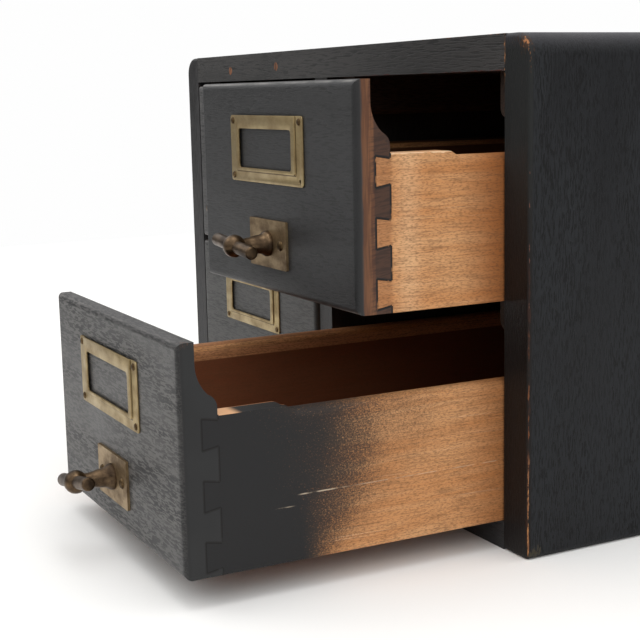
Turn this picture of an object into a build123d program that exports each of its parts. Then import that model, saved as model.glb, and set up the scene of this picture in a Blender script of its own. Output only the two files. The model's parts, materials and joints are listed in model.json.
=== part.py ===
from build123d import *

# Index card cabinet: an oak case with four dovetailed drawers in two rows of two.
# Frame: millimetres, +Z up, origin on the floor under the middle of the case, fronts facing -Y.

# Case
case_width = 380.0
case_depth = 400.0
side_thick = 18.0
side_top_round = 10.5
side_foot_round = 3.0
side_front_round = 2.0
top_thick = 15.5
rail_depth = 19.0
bottom_thick = 13.0
divider_thick = 14.0
divider_setback = 1.0
back_thick = 6.0
back_lap = 7.0
tongue_depth = 6.0
tongue_thick = 6.0
tongue_stop = 22.0
divider_tongue = 4.0
plug_diameter = 4.8
plug_length = 8.0
# Distance of each plug from the case's left side, and its height above the rail's underside
plug_places = ((71.0, 6.2), (136.0, 7.2))

# Runners that carry the upper drawers, and kickers above them
strip_width = 16.0
strip_setback = 9.0
strip_round = 4.0
runner_height = 15.0
kicker_height = 20.0

# Clearances of the drawers in the case
front_side_gap = 1.4
rail_gap = 2.4
row_gap = 3.0
run_clearance = 0.3
rear_gap = 9.0
front_proud = 1.0

# How far each drawer stands open
opened = {"upper_left": 0.0, "upper_right": 71.0, "lower_left": 0.0, "lower_right": 151.5}

# Drawer front
front_height = 96.9
front_thick = 16.1
front_lip_thick = 7.1
front_round = 3.0
ogee_above_side = 3.0
ovolo_rise = 5.8
ovolo_run = 3.8
cove_rise = 12.5

# Drawer box
box_side_thick = 10.5
box_side_height = 66.5
box_back_thick = 9.0
box_back_drop = 8.0
box_back_inset = 12.0
dado_depth = 4.0
box_bottom_thick = 4.0
box_bottom_lift = 6.0
groove_depth = 5.0
square_top_length = 28.0
dip_drop = 2.0
dip_length = 6.0

# Half-blind dovetails between front and sides
tail_count = 3
tail_pitch = 25.4
tail_first = 8.4
tail_length = 7.1
tail_end_width = 13.3
tail_root_width = 10.8

# Label frame of stamped brass
frame_width = 77.5
frame_offset = -4.5
frame_height = 31.2
frame_bottom = 50.6
frame_sheet = 0.8
frame_proud = 1.5
frame_corner = 1.6
flange_side = 6.6
flange_bottom = 5.0
window_width = 56.5
window_height = 18.4
window_lift = 6.6
window_corner = 1.8
pin_inset = 3.1
pin_rise = 2.6
pin_head_radius = 1.6
pin_head_height = 0.9
pin_head_chamfer = 0.5
pin_shank_radius = 0.7
pin_shank_length = 8.0

# Pull plate and its screws
plate_width = 39.0
plate_offset = -3.5
plate_height = 22.3
plate_bottom = 11.7
plate_thick = 1.2
plate_corner = 0.6
screw_spacing = 27.0
screw_head_radius = 2.4
screw_head_height = 1.2
screw_head_chamfer = 0.6
screw_shank_radius = 1.2
screw_shank_length = 11.0
screw_slot = 0.6

# T pull, turned from bronze, held by a nut behind the front
pull_reach = 18.2
pull_base_radius = 6.0
pull_base_height = 2.2
pull_collar_inset = 0.4
pull_neck_radius = 3.2
pull_waist_radius = 4.1
pull_waist_reach = 8.0
pull_ball_radius = 5.3
bar_length = 40.0
bar_radius = 2.8
bar_end_chamfer = 0.6
shank_radius = 2.0
shank_past_nut = 1.0
washer_radius = 6.0
washer_thick = 1.0
nut_across_flats = 8.0
nut_thick = 3.2
bar_turn = {"upper_left": 0.0, "upper_right": 4.5, "lower_left": 2.0, "lower_right": -11.0}

# The pin missing from the upper right label frame, as (side, level)
missing_pins = {"upper_right": [(1, -1)]}

# Heights and depths that follow from the sizes above
front_y = -case_depth / 2
back_y = case_depth / 2
back_face_y = back_y - back_thick
drawer_z = {"lower": bottom_thick + run_clearance}
drawer_z["upper"] = drawer_z["lower"] + front_height + row_gap
runner_top = drawer_z["upper"] - run_clearance
top_underside = drawer_z["upper"] + front_height + rail_gap
case_height = top_underside + top_thick
inside_half = case_width / 2 - side_thick
bay_width = inside_half - divider_thick / 2
bay_centre = divider_thick / 2 + bay_width / 2
front_width = bay_width - 2 * front_side_gap
drawer_length = front_proud + case_depth - back_thick - rear_gap
plate_centre_z = plate_bottom + plate_height / 2


def block(x0, x1, y0, y1, z0, z1):
    """Box between two corners."""
    size = (x1 - x0, y1 - y0, z1 - z0)
    middle = ((x0 + x1) / 2, (y0 + y1) / 2, (z0 + z1) / 2)
    return Pos(*middle) * Box(*size)


def along_x(face, length):
    """Extrude a face drawn with (y, z) coordinates evenly to both sides of x = 0."""
    return extrude(Plane.YZ * face, amount=length / 2, both=True)


def pin_along_y(radius, y0, y1, x=0.0, z=0.0):
    """Cylinder on the Y direction from y0 to y1."""
    return Pos(x, (y0 + y1) / 2, z) * Rot(90, 0, 0) * Cylinder(radius, y1 - y0)


def case_side(sign):
    """Full-height side, its top and foot rounded outside and its front edge eased."""
    outer = sign * case_width / 2
    inner = sign * inside_half
    section = Polyline((inner, 0), (outer, 0), (outer, case_height), (inner, case_height), close=True)
    board = extrude(Plane.XZ * make_face(section), amount=case_depth / 2, both=True)
    outer_edges = board.edges().filter_by(Axis.Y).filter_by(lambda e: abs(e.center().X - outer) < 0.01)
    board = fillet(outer_edges.sort_by(Axis.Z)[-1], side_top_round)
    outer_edges = board.edges().filter_by(Axis.Y).filter_by(lambda e: abs(e.center().X - outer) < 0.01)
    board = fillet(outer_edges.sort_by(Axis.Z)[0], side_foot_round)
    front_edges = board.faces().sort_by(Axis.Y)[0].edges()
    eased = front_edges.filter_by(lambda e: abs(e.center().X) > inside_half + 0.1)
    return fillet(eased, side_front_round)


def case_panel(z0, z1, y0, y1):
    """Horizontal panel between the sides, with a stopped tongue into each of them."""
    panel = block(-inside_half, inside_half, y0, y1, z0, z1)
    middle = (z0 + z1) / 2
    reach = inside_half + tongue_depth
    tongue_start = max(y0, front_y + tongue_stop)
    tongue = block(-reach, reach, tongue_start, y1, middle - tongue_thick / 2, middle + tongue_thick / 2)
    return panel + tongue


def case_divider():
    """Upright between the two bays, let into the top and the bottom behind a stop."""
    half = divider_thick / 2
    board = block(-half, half, front_y + divider_setback, back_face_y, bottom_thick, top_underside)
    let_in = block(-half, half, front_y + tongue_stop, back_face_y,
                   bottom_thick - divider_tongue, top_underside + divider_tongue)
    return board + let_in


def case_back():
    """Thin back in a rabbet all round."""
    reach = inside_half + back_lap
    return block(-reach, reach, back_face_y, back_y, bottom_thick - back_lap, top_underside + back_lap)


def strip(wall_x, sign, z_top, height):
    """Runner or kicker on a wall: its free lower edge is rounded. sign points from the wall inwards."""
    x0, x1 = sorted((wall_x, wall_x + sign * strip_width))
    bar = block(x0, x1, front_y + strip_setback, back_face_y, z_top - height, z_top)
    free_x = wall_x + sign * strip_width
    edges = bar.edges().filter_by(Axis.Y).filter_by(lambda e: abs(e.center().X - free_x) < 0.01)
    return fillet(edges.sort_by(Axis.Z)[0], strip_round)


def build_case():
    """All fixed pieces of the case, cut to receive each other."""
    back = case_back()
    divider = case_divider()
    rail = block(-inside_half, inside_half, front_y, front_y + rail_depth, top_underside, case_height)
    top = case_panel(top_underside, case_height, front_y + rail_depth, back_y) - divider - back
    bottom = case_panel(0, bottom_thick, front_y, back_y) - divider - back
    plugs = [pin_along_y(plug_diameter / 2, front_y, front_y + plug_length,
                         distance - case_width / 2, top_underside + rise)
             for distance, rise in plug_places]
    for plug in plugs:
        rail = rail - plug
    pieces = {
        "case_side_left": case_side(-1) - top - bottom - back,
        "case_side_right": case_side(1) - top - bottom - back,
        "case_top_rail": rail,
        "case_top": top,
        "case_bottom": bottom,
        "case_divider": divider,
        "case_back": back,
        "rail_plugs": Compound(plugs),
    }
    walls = {"left_outer": (-inside_half, 1), "left_inner": (-divider_thick / 2, -1),
             "right_inner": (divider_thick / 2, 1), "right_outer": (inside_half, -1)}
    for place, (wall_x, sign) in walls.items():
        pieces[f"runner_{place}"] = strip(wall_x, sign, runner_top, runner_height)
        pieces[f"kicker_{place}"] = strip(wall_x, sign, top_underside, kicker_height)
    return pieces


def front_board():
    """Drawer front: full thickness below, a thin lip above, an ogee between them on the inner side."""
    ogee_z = box_side_height + ogee_above_side
    step_y = front_thick - ovolo_run
    step_z = ogee_z + ovolo_rise
    lip_z = step_z + cove_rise
    outline = Line((0, 0), (front_thick, 0))
    outline += Line((front_thick, 0), (front_thick, ogee_z))
    outline += TangentArc((front_thick, ogee_z), (step_y, step_z), tangent=(0, 1))
    outline += TangentArc((front_lip_thick, lip_z), (step_y, step_z), tangent=(0, -1))
    outline += Line((front_lip_thick, lip_z), (front_lip_thick, front_height))
    outline += Line((front_lip_thick, front_height), (0, front_height))
    outline += Line((0, front_height), (0, 0))
    board = along_x(make_face(outline), front_width)
    return fillet(board.faces().sort_by(Axis.Y)[0].edges(), front_round)


def box_side(sign):
    """Drawer side: tails in front, a square top, a small dip, then a rounded top edge to the back."""
    outer = front_width / 2
    inner = outer - box_side_thick
    low = box_side_height - dip_drop
    flat_end = front_thick + square_top_length
    dip_end = flat_end + dip_length
    middle = ((flat_end + dip_end) / 2, (box_side_height + low) / 2)
    outline = Line((front_thick, 0), (dip_end, 0))
    outline += Line((dip_end, 0), (dip_end, low))
    outline += TangentArc((dip_end, low), middle, tangent=(-1, 0))
    outline += TangentArc((flat_end, box_side_height), middle, tangent=(1, 0))
    outline += Line((flat_end, box_side_height), (front_thick, box_side_height))
    outline += Line((front_thick, box_side_height), (front_thick, 0))
    body = along_x(make_face(outline), box_side_thick)
    radius = box_side_thick / 2
    nose = Polyline((radius, low - radius), (radius, 0), (-radius, 0), (-radius, low - radius))
    nose += ThreePointArc((-radius, low - radius), (0, low), (radius, low - radius))
    body += Pos(0, drawer_length, 0) * extrude(Plane.XZ * make_face(nose), amount=drawer_length - dip_end)
    for index in range(tail_count):
        centre = tail_first + index * tail_pitch
        end_y = front_thick - tail_length
        tail = Polyline((end_y, centre - tail_end_width / 2), (front_thick, centre - tail_root_width / 2),
                        (front_thick, centre + tail_root_width / 2), (end_y, centre + tail_end_width / 2),
                        close=True)
        body += along_x(make_face(tail), box_side_thick)
    return Pos(sign * (outer + inner) / 2, 0, 0) * body


def label_frame():
    """Stamped holder: flat flange at both sides and below, a raised panel open on top, a window."""
    top = frame_bottom + frame_height
    middle_z = frame_bottom + frame_height / 2
    flange = block(-frame_width / 2, frame_width / 2, -frame_sheet, 0, frame_bottom, top)
    flange = fillet(flange.edges().filter_by(Axis.Y), frame_corner)
    panel_half = frame_width / 2 - flange_side
    panel = block(-panel_half, panel_half, -frame_proud, 0, frame_bottom + flange_bottom, top)
    panel = fillet(panel.edges().filter_by(Axis.Y).sort_by(Axis.Z)[0:2], frame_corner)
    pocket_half = panel_half - frame_sheet
    pocket = block(-pocket_half, pocket_half, frame_sheet - frame_proud, 0,
                   frame_bottom + flange_bottom + frame_sheet, top)
    window_z = frame_bottom + window_lift + window_height / 2
    window = block(-window_width / 2, window_width / 2, -frame_proud, 0,
                   window_z - window_height / 2, window_z + window_height / 2)
    window = fillet(window.edges().filter_by(Axis.Y), window_corner)
    holder = Pos(frame_offset, 0, 0) * (flange + panel - pocket - window)
    for x, z in pin_places(middle_z):
        holder -= pin_along_y(pin_shank_radius, -frame_sheet, 0, x, z)
    return holder


def pin_places(middle_z, missing=()):
    """Centres of the label frame's corner pins."""
    across = frame_width / 2 - pin_inset
    up = frame_height / 2 - pin_rise
    corners = [(side, level) for side in (-1, 1) for level in (-1, 1)]
    return [(frame_offset + side * across, middle_z + level * up)
            for side, level in corners if (side, level) not in missing]


def headed_pin(head_radius, head_height, head_chamfer, shank_radius, shank_length, seat_y, x, z):
    """Pin or screw with a bevelled head that stands on the plane y = seat_y."""
    head = pin_along_y(head_radius, seat_y - head_height, seat_y, x, z)
    head = chamfer(head.edges().group_by(Axis.Y)[0], head_chamfer)
    return head + pin_along_y(shank_radius, seat_y, seat_y + shank_length, x, z)


def label_pins(missing):
    """The pins of one label frame, without those that are missing."""
    middle_z = frame_bottom + frame_height / 2
    return [headed_pin(pin_head_radius, pin_head_height, pin_head_chamfer, pin_shank_radius,
                       pin_shank_length, -frame_sheet, x, z)
            for x, z in pin_places(middle_z, missing)]


def screw_places():
    """Distances of the plate's two screws from the middle of the front."""
    return [plate_offset - screw_spacing / 2, plate_offset + screw_spacing / 2]


def pull_plate():
    """Flat brass plate behind the pull, with its three holes."""
    half = plate_width / 2
    plate = block(plate_offset - half, plate_offset + half, -plate_thick, 0,
                  plate_bottom, plate_bottom + plate_height)
    plate = fillet(plate.edges().filter_by(Axis.Y), plate_corner)
    plate -= pin_along_y(shank_radius, -plate_thick, 0, plate_offset, plate_centre_z)
    for x in screw_places():
        plate -= pin_along_y(screw_shank_radius, -plate_thick, 0, x, plate_centre_z)
    return plate


def plate_screws():
    """The two slotted screws of the pull plate."""
    screws = []
    for x in screw_places():
        screw = headed_pin(screw_head_radius, screw_head_height, screw_head_chamfer, screw_shank_radius,
                           screw_shank_length, -plate_thick, x, plate_centre_z)
        slot = block(x - screw_slot / 2, x + screw_slot / 2,
                     -plate_thick - screw_head_height, -plate_thick - screw_head_height + screw_slot,
                     plate_centre_z - screw_head_radius, plate_centre_z + screw_head_radius)
        screws.append(screw - slot)
    return screws


def pull(turn):
    """T pull: a flared stem with a ball, a crossbar through the ball and a shank behind."""
    seat = plate_thick
    collar = seat + pull_base_height
    neck = pull_reach - pull_ball_radius
    outline = Line((0, seat), (pull_base_radius, seat))
    collar_radius = pull_base_radius - pull_collar_inset
    outline += Line((pull_base_radius, seat), (collar_radius, collar))
    waist = (pull_waist_radius, pull_waist_reach)
    outline += ThreePointArc((collar_radius, collar), waist, (pull_neck_radius, neck))
    outline += Line((pull_neck_radius, neck), (pull_neck_radius, pull_reach))
    outline += Line((pull_neck_radius, pull_reach), (0, pull_reach))
    outline += Line((0, pull_reach), (0, seat))
    stem = Rot(90, 0, 0) * revolve(Plane.XZ * make_face(outline), Axis.Z)
    bar = Rot(0, 90, 0) * Cylinder(bar_radius, bar_length)
    bar = chamfer(bar.edges().filter_by(GeomType.CIRCLE), bar_end_chamfer)
    head = Pos(0, -pull_reach, 0) * Rot(0, turn, 0) * (Sphere(pull_ball_radius) + bar)
    shank_end = front_thick + washer_thick + nut_thick + shank_past_nut
    shank = pin_along_y(shank_radius, -seat, shank_end)
    return Pos(plate_offset, 0, plate_centre_z) * (stem + head + shank)


def pull_nut():
    """Washer and hexagon nut on the shank behind the front."""
    washer = pin_along_y(washer_radius, front_thick, front_thick + washer_thick)
    hexagon = RegularPolygon(nut_across_flats / 2, 6, major_radius=False)
    nut = extrude(Plane.XZ * hexagon, amount=-nut_thick)
    nut = Pos(0, front_thick + washer_thick, 0) * nut
    bore = pin_along_y(shank_radius, 0, 2 * front_thick)
    return Pos(plate_offset, 0, plate_centre_z) * (washer + nut - bore)


def build_drawer(key):
    """All pieces of one drawer in its own frame: y = 0 on the front face, z = 0 underneath."""
    inner_half = front_width / 2 - box_side_thick
    bottom_half = inner_half + groove_depth
    bottom = block(-bottom_half, bottom_half, front_thick - groove_depth, drawer_length,
                   box_bottom_lift, box_bottom_lift + box_bottom_thick)
    back_half = inner_half + dado_depth
    back_end = drawer_length - box_back_inset
    back = block(-back_half, back_half, back_end - box_back_thick, back_end,
                 box_bottom_lift + box_bottom_thick, box_side_height - box_back_drop)
    sides = {sign: box_side(sign) for sign in (-1, 1)}
    pins = label_pins(missing_pins.get(key, ()))
    screws = plate_screws()
    handle = pull(bar_turn[key])
    front = front_board() - sides[-1] - sides[1] - bottom
    middle_z = frame_bottom + frame_height / 2
    for x, z in pin_places(middle_z):
        front -= pin_along_y(pin_shank_radius, 0, pin_shank_length - frame_sheet, x, z)
    for x in screw_places():
        front -= pin_along_y(screw_shank_radius, 0, screw_shank_length - plate_thick, x, plate_centre_z)
    front -= pin_along_y(shank_radius, 0, front_thick, plate_offset, plate_centre_z)
    return {
        "front": front,
        "side_left": sides[-1] - bottom - back,
        "side_right": sides[1] - bottom - back,
        "back": back,
        "bottom": bottom,
        "label_frame": label_frame(),
        "label_pins": Compound(pins),
        "pull_plate": pull_plate(),
        "plate_screws": Compound(screws),
        "pull": handle,
        "pull_nut": pull_nut(),
    }


nodes = build_case()
for key, travel in opened.items():
    row, column = key.split("_")
    centre_x = bay_centre if column == "right" else -bay_centre
    place = Pos(centre_x, front_y - front_proud - travel, drawer_z[row])
    for piece, shape in build_drawer(key).items():
        nodes[f"{key}_{piece}"] = place * shape

for name, shape in nodes.items():
    export_step(shape, f"parts/{name}.step")

print(len(nodes), "nodes, case height", round(case_height, 2), "front width", round(front_width, 2))
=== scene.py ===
"""Dresses the index card cabinet: black stained oak, bare maple boxes, aged brass and turned bronze."""

from __future__ import annotations

import json
import logging
import math
from dataclasses import dataclass
from enum import Enum

import bpy
from mathutils import Matrix, Vector

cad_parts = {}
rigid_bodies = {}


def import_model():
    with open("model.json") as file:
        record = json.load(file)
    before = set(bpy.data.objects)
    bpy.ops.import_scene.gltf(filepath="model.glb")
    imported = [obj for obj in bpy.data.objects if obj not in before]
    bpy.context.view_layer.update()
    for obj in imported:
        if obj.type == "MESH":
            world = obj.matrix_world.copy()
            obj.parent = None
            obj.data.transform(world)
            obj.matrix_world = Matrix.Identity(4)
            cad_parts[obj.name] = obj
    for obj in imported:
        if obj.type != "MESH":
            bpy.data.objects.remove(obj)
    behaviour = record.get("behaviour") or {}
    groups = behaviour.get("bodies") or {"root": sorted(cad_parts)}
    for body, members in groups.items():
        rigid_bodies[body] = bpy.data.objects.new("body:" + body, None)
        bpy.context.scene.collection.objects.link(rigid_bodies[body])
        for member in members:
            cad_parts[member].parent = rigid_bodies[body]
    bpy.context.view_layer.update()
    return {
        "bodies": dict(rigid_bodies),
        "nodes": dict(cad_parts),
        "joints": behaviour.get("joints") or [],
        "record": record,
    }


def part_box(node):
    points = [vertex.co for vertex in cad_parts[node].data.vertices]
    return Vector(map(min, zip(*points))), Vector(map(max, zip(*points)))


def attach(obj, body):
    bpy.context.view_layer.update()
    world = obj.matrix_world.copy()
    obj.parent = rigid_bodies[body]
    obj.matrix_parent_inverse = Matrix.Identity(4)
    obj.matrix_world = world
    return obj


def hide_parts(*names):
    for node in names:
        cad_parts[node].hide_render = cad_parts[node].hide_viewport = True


LOG = logging.getLogger("card_cabinet")
MM = 0.001
# A place beyond every piece: what runs to it has no end on the cabinet.
FAR = 1.0
MATH = "ShaderNodeMath"
VECTOR = "ShaderNodeVectorMath"
RANGE = "ShaderNodeMapRange"
NOISE = "ShaderNodeTexNoise"
BUMP = "ShaderNodeBump"
SOFT = {"interpolation_type": "SMOOTHSTEP"}
Socket = bpy.types.NodeSocket
Colour = tuple[float, float, float, float]
# Start, end and fade of something along one axis, in metres.
Span = tuple[float, float, float]


class Grain(Enum):
    """A direction, such as the one of a board's fibres, as an index of X, Y, Z."""

    ACROSS = 0
    DEEP = 1
    UPRIGHT = 2


class Hand(Enum):
    """Left or right, seen from the front."""

    LEFT = -1
    RIGHT = 1


class Carving(Enum):
    """What a tool does to a piece."""

    CUT = "DIFFERENCE"
    ADD = "UNION"


def linear(hex_code: str) -> Colour:
    """Turn an sRGB hex colour to a linear colour with full alpha.

    Args:
        hex_code: Colour such as "#3a3a3b".

    Returns:
        Linear red, green, blue and alpha.
    """
    channels = [int(hex_code[i : i + 2], 16) / 255 for i in (1, 3, 5)]
    straight = [c / 12.92 if c <= 0.04045 else ((c + 0.055) / 1.055) ** 2.4 for c in channels]
    return (straight[0], straight[1], straight[2], 1.0)


def hairline(place: float, width: float) -> Span:
    """Give the span of a thin line across an axis, with edges that fade over 0.12 mm."""
    return (place - width / 2, place + width / 2, 0.12 * MM)


class Skin:
    """The shader nodes of one finish, or of the room."""

    def __init__(self, owner: bpy.types.Material | bpy.types.World) -> None:
        """Start without any node.

        Args:
            owner: The material or world that the nodes are for.
        """
        owner.use_nodes = True
        self.owner = owner
        self.tree = owner.node_tree
        self.tree.nodes.clear()

    def add(self, kind: str, settings: dict, out: int | str = 0) -> Socket | None:
        """Add one shader node with its settings and links.

        Args:
            kind: Blender's name of the node type.
            settings: Values by property name, and values or sockets by input name or index.
            out: Name or index of the output that is wanted.

        Returns:
            That output, or None for a node that has none.
        """
        node = self.tree.nodes.new(kind)
        for name, value in settings.items():
            if isinstance(value, Socket):
                self.tree.links.new(value, node.inputs[name])
            elif isinstance(name, str) and hasattr(node, name):
                setattr(node, name, value)
            else:
                node.inputs[name].default_value = value
        return node.outputs[out] if node.outputs else None

    def place(self, axis: Grain | None = None) -> Socket:
        """Give the place on the piece, as a vector or as a value along one axis."""
        place = self.add("ShaderNodeTexCoord", {}, "Object")
        return place if axis is None else self.add("ShaderNodeSeparateXYZ", {"Vector": place}, axis.value)

    def space(
        self, grain: Grain, along: float, across: float, shift: float = 0.0, turn: float = 0.0
    ) -> Socket:
        """Give coordinates stretched along the grain of a board.

        Args:
            grain: Direction of the fibres.
            along: Length in millimetres that one unit spans along the grain.
            across: Length in millimetres that one unit spans across the grain.
            shift: Offset that sets one board's figure apart from the next.
            turn: Turn of the grain about X, in degrees.

        Returns:
            Vector socket.
        """
        scale = [1 / (across * MM)] * 3
        scale[grain.value] = 1 / (along * MM)
        mapping = "ShaderNodeMapping"
        turned = self.add(mapping, {"Rotation": (math.radians(turn), 0, 0), "Vector": self.place()})
        offset = (shift, shift * 1.7, shift * 2.3)
        return self.add(mapping, {"Location": offset, "Scale": scale, "Vector": turned})

    def patches(
        self, space: Socket, low: float, high: float, detail: float = 3.0, warp: float = 0.0
    ) -> Socket:
        """Mask soft patches or streaks: 0 at a noise's low level, and 1 at its high one."""
        rough = {"Scale": 1.0, "Detail": detail, "Roughness": 0.55, "Distortion": warp, "Vector": space}
        return self.add(RANGE, {"From Min": low, "From Max": high, "Value": self.add(NOISE, rough)} | SOFT)

    def stretch(self, axis: Grain, start: float, end: float, fade: float) -> Socket:
        """Mark the stretch of a piece between two places on one axis.

        Args:
            axis: The axis that is measured.
            start: Place in metres where the stretch starts.
            end: Place in metres where it ends.
            fade: Length in metres over which each end fades.

        Returns:
            Mask socket from 0 to 1.
        """
        place = self.place(axis)
        rise = self.add(RANGE, {"From Min": start - fade, "From Max": start + fade, "Value": place} | SOFT)
        fall = self.add(RANGE, {"From Min": end + fade, "From Max": end - fade, "Value": place} | SOFT)
        return self.overlap(rise, fall)

    def overlap(self, *masks: Socket | float) -> Socket:
        """Keep what lies under all of several masks.

        Args:
            masks: Masks, and plain numbers that weaken them.

        Returns:
            Mask socket.
        """
        result = masks[0]
        for mask in masks[1:]:
            result = self.add(MATH, {"operation": "MULTIPLY", 0: result, 1: mask})
        return result

    def layered(self, base: str, layers: list[tuple[Socket, str] | Mark]) -> Socket:
        """Lay colours over a base colour, one after the other.

        Args:
            base: Hex colour underneath.
            layers: A mark, or a mask and a hex colour, for each layer.

        Returns:
            Colour socket.
        """
        colour = linear(base)
        for layer in layers:
            mask, code = (layer.mask(self), layer.colour) if isinstance(layer, Mark) else layer
            colour = self.add("ShaderNodeMix", {"data_type": "RGBA", 0: mask, 6: colour, 7: linear(code)}, 2)
        return colour

    def finished(self, shader: dict) -> bpy.types.Material:
        """Give the material a shader with these values and sockets by input name, and hand it back."""
        self.add("ShaderNodeOutputMaterial", {"Surface": self.add("ShaderNodeBsdfPrincipled", shader)})
        return self.owner


class Mark:
    """Something on a board that changes its colour in one place."""

    colour: str

    def mask(self, skin: Skin) -> Socket:
        """Lay the nodes that mask the mark on a skin, and give the mask's socket."""
        raise NotImplementedError


@dataclass(frozen=True)
class Zone(Mark):
    """A region of a piece with another tone, bounded along some of the axes.

    Args:
        spans: Span along each axis that bounds the region.
        colour: The other tone.
        strength: How much of the other tone shows.
        broken: Length of the gaps that break the tone up, in millimetres; 0 for none.
    """

    spans: dict[Grain, Span]
    colour: str
    strength: float = 1.0
    broken: float = 0.0

    def mask(self, skin: Skin) -> Socket:
        """Mask the region.

        Args:
            skin: Nodes of the finish.

        Returns:
            Mask socket.
        """
        masks = [skin.stretch(axis, *span) for axis, span in self.spans.items()]
        if self.broken:
            masks.append(skin.patches(skin.space(Grain.DEEP, self.broken, self.broken / 3), 0.4, 0.55))
        return skin.overlap(*masks, self.strength)


@dataclass(frozen=True)
class Worn(Mark):
    """Chips down to the wood, along a corner line of a board or round one of its points.

    Args:
        place: The point, or a point on the line, in metres.
        reach: How far the chips spread from it, in metres.
        span: Where they start and end along the line, or in depth at a point, in metres.
        level: Noise level above which the wood is bare: low is worn more.
        chip: Length of a chip, in millimetres.
        colour: Colour of the bare wood.
        line: Direction of the line, or None for a point.
    """

    place: tuple[float, float, float]
    reach: float
    span: tuple[float, float]
    level: float
    chip: float
    colour: str
    line: Grain | None = None

    def mask(self, skin: Skin) -> Socket:
        """Mask the chips.

        Args:
            skin: Nodes of the finish.

        Returns:
            Mask socket.
        """
        # A chip's width for its length, the noise level that it takes at the end of the reach, and the fade.
        slender, rarest, fade = (0.4, 0.75, 0.4 * MM) if self.line is None else (0.3, 0.95, 4 * MM)
        offset = skin.add(VECTOR, {"operation": "SUBTRACT", 0: skin.place(), 1: self.place})
        across = [0.0 if axis is self.line else 1.0 for axis in Grain]
        flat = skin.add(VECTOR, {"operation": "MULTIPLY", 0: offset, 1: across})
        distance = skin.add(VECTOR, {"operation": "LENGTH", 0: flat}, "Value")
        space = skin.space(self.line or Grain.UPRIGHT, self.chip, self.chip * slender)
        ragged = skin.add(NOISE, {"Scale": 1.0, "Detail": 4.0, "Roughness": 0.65, "Vector": space})
        # The further away, the higher the noise has to be for the stain to be gone.
        rising = {"From Max": self.reach, "To Min": self.level, "To Max": rarest, "Value": distance}
        over = skin.add(MATH, {"operation": "SUBTRACT", 0: ragged, 1: skin.add(RANGE, rising)})
        bare = skin.add(RANGE, {"From Min": -0.02, "From Max": 0.06, "Value": over} | SOFT)
        return skin.overlap(bare, skin.stretch(self.line or Grain.DEEP, *self.span, fade))


@dataclass(frozen=True)
class BareEnd(Mark):
    """The unstained end of a drawer front, behind a ragged line where the stain stops.

    Args:
        start: Depth in metres behind which the wood is bare.
        ends: Where the front's two ends are on X, in metres.
        colour: Colour of the wood.
        ragged: How far the line wanders, in metres.
    """

    start: float
    ends: tuple[float, float]
    colour: str
    ragged: float = 0.8 * MM

    def mask(self, skin: Skin) -> Socket:
        """Mask the bare wood.

        Args:
            skin: Nodes of the finish.

        Returns:
            Mask socket.
        """
        noise = skin.add(NOISE, {"Scale": 1.0, "Detail": 3.0, "Vector": skin.space(Grain.UPRIGHT, 9, 3)})
        wander = {"operation": "MULTIPLY_ADD", 0: noise, 1: 2 * self.ragged, 2: skin.place(Grain.DEEP)}
        low = self.start + self.ragged
        edge = {"From Min": low - 0.3 * MM, "From Max": low + 0.5 * MM, "Value": skin.add(MATH, wander)}
        between = skin.stretch(Grain.ACROSS, self.ends[0] + 1 * MM, self.ends[1] - 1 * MM, 0.2 * MM)
        at_end = skin.add(MATH, {"operation": "SUBTRACT", 0: 1.0, 1: between})
        return skin.overlap(skin.add(RANGE, edge | SOFT), at_end)


@dataclass(frozen=True)
class EndGrain(Mark):
    """Rings and saw streaks in the bare end of a drawer front.

    Args:
        start: Depth in metres behind which they show.
        shift: Offset of the figure.
        colour: Colour of the lines.
        run: Axis along which the lines run.
        size: Length and width of the lines, in millimetres.
        turn: Turn of the lines about X, in degrees.
        strength: How much the lines show.
    """

    start: float
    shift: float
    colour: str = "#2a1810"
    run: Grain = Grain.DEEP
    size: tuple[float, float] = (7.0, 0.9)
    turn: float = -9.0
    strength: float = 0.7

    def mask(self, skin: Skin) -> Socket:
        """Mask the lines, with nodes on the finish's skin."""
        lines = skin.patches(skin.space(self.run, *self.size, self.shift, self.turn), 0.42, 0.6, 2.0, 0.6)
        return skin.overlap(lines, skin.stretch(Grain.DEEP, self.start, FAR, 2.5 * MM), self.strength)


@dataclass(frozen=True)
class RubbedHighlitRound(Mark):
    """The rounded edge of a drawer front at its left, top and bottom, lighter from rubbing by hands, and
    partly a painted highlight along the roundover.

    Args:
        low: Lower corner of the front.
        high: Upper corner of the front.
        strength: How light the rubbing and the painted highlight make it.
        radius: Radius of the edge.
        width: Share of the rounding that is rubbed.
        colour: Colour of the worn stain and painted highlight.
    """

    low: Vector
    high: Vector
    strength: float
    radius: float = 3.0 * MM
    width: float = 0.35
    colour: str = "#8b8783"

    def mask(self, skin: Skin) -> Socket:
        """Mask the rubbed edge.

        Args:
            skin: Nodes of the finish.

        Returns:
            Mask socket.
        """
        inset, fade = self.radius * self.width, self.radius * 0.15
        field = skin.overlap(
            skin.stretch(Grain.ACROSS, self.low.x + inset, FAR, fade),
            skin.stretch(Grain.UPRIGHT, self.low.z + inset, self.high.z - inset, fade),
        )
        rim = skin.add(MATH, {"operation": "SUBTRACT", 0: 1.0, 1: field})
        face = skin.stretch(Grain.DEEP, -FAR, self.low.y + self.radius * 0.5, fade)
        rub_and_highlight = skin.patches(skin.space(Grain.ACROSS, 18, 5), 0.25, 0.7, 4.0)
        return skin.overlap(rim, face, rub_and_highlight, self.strength)


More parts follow.
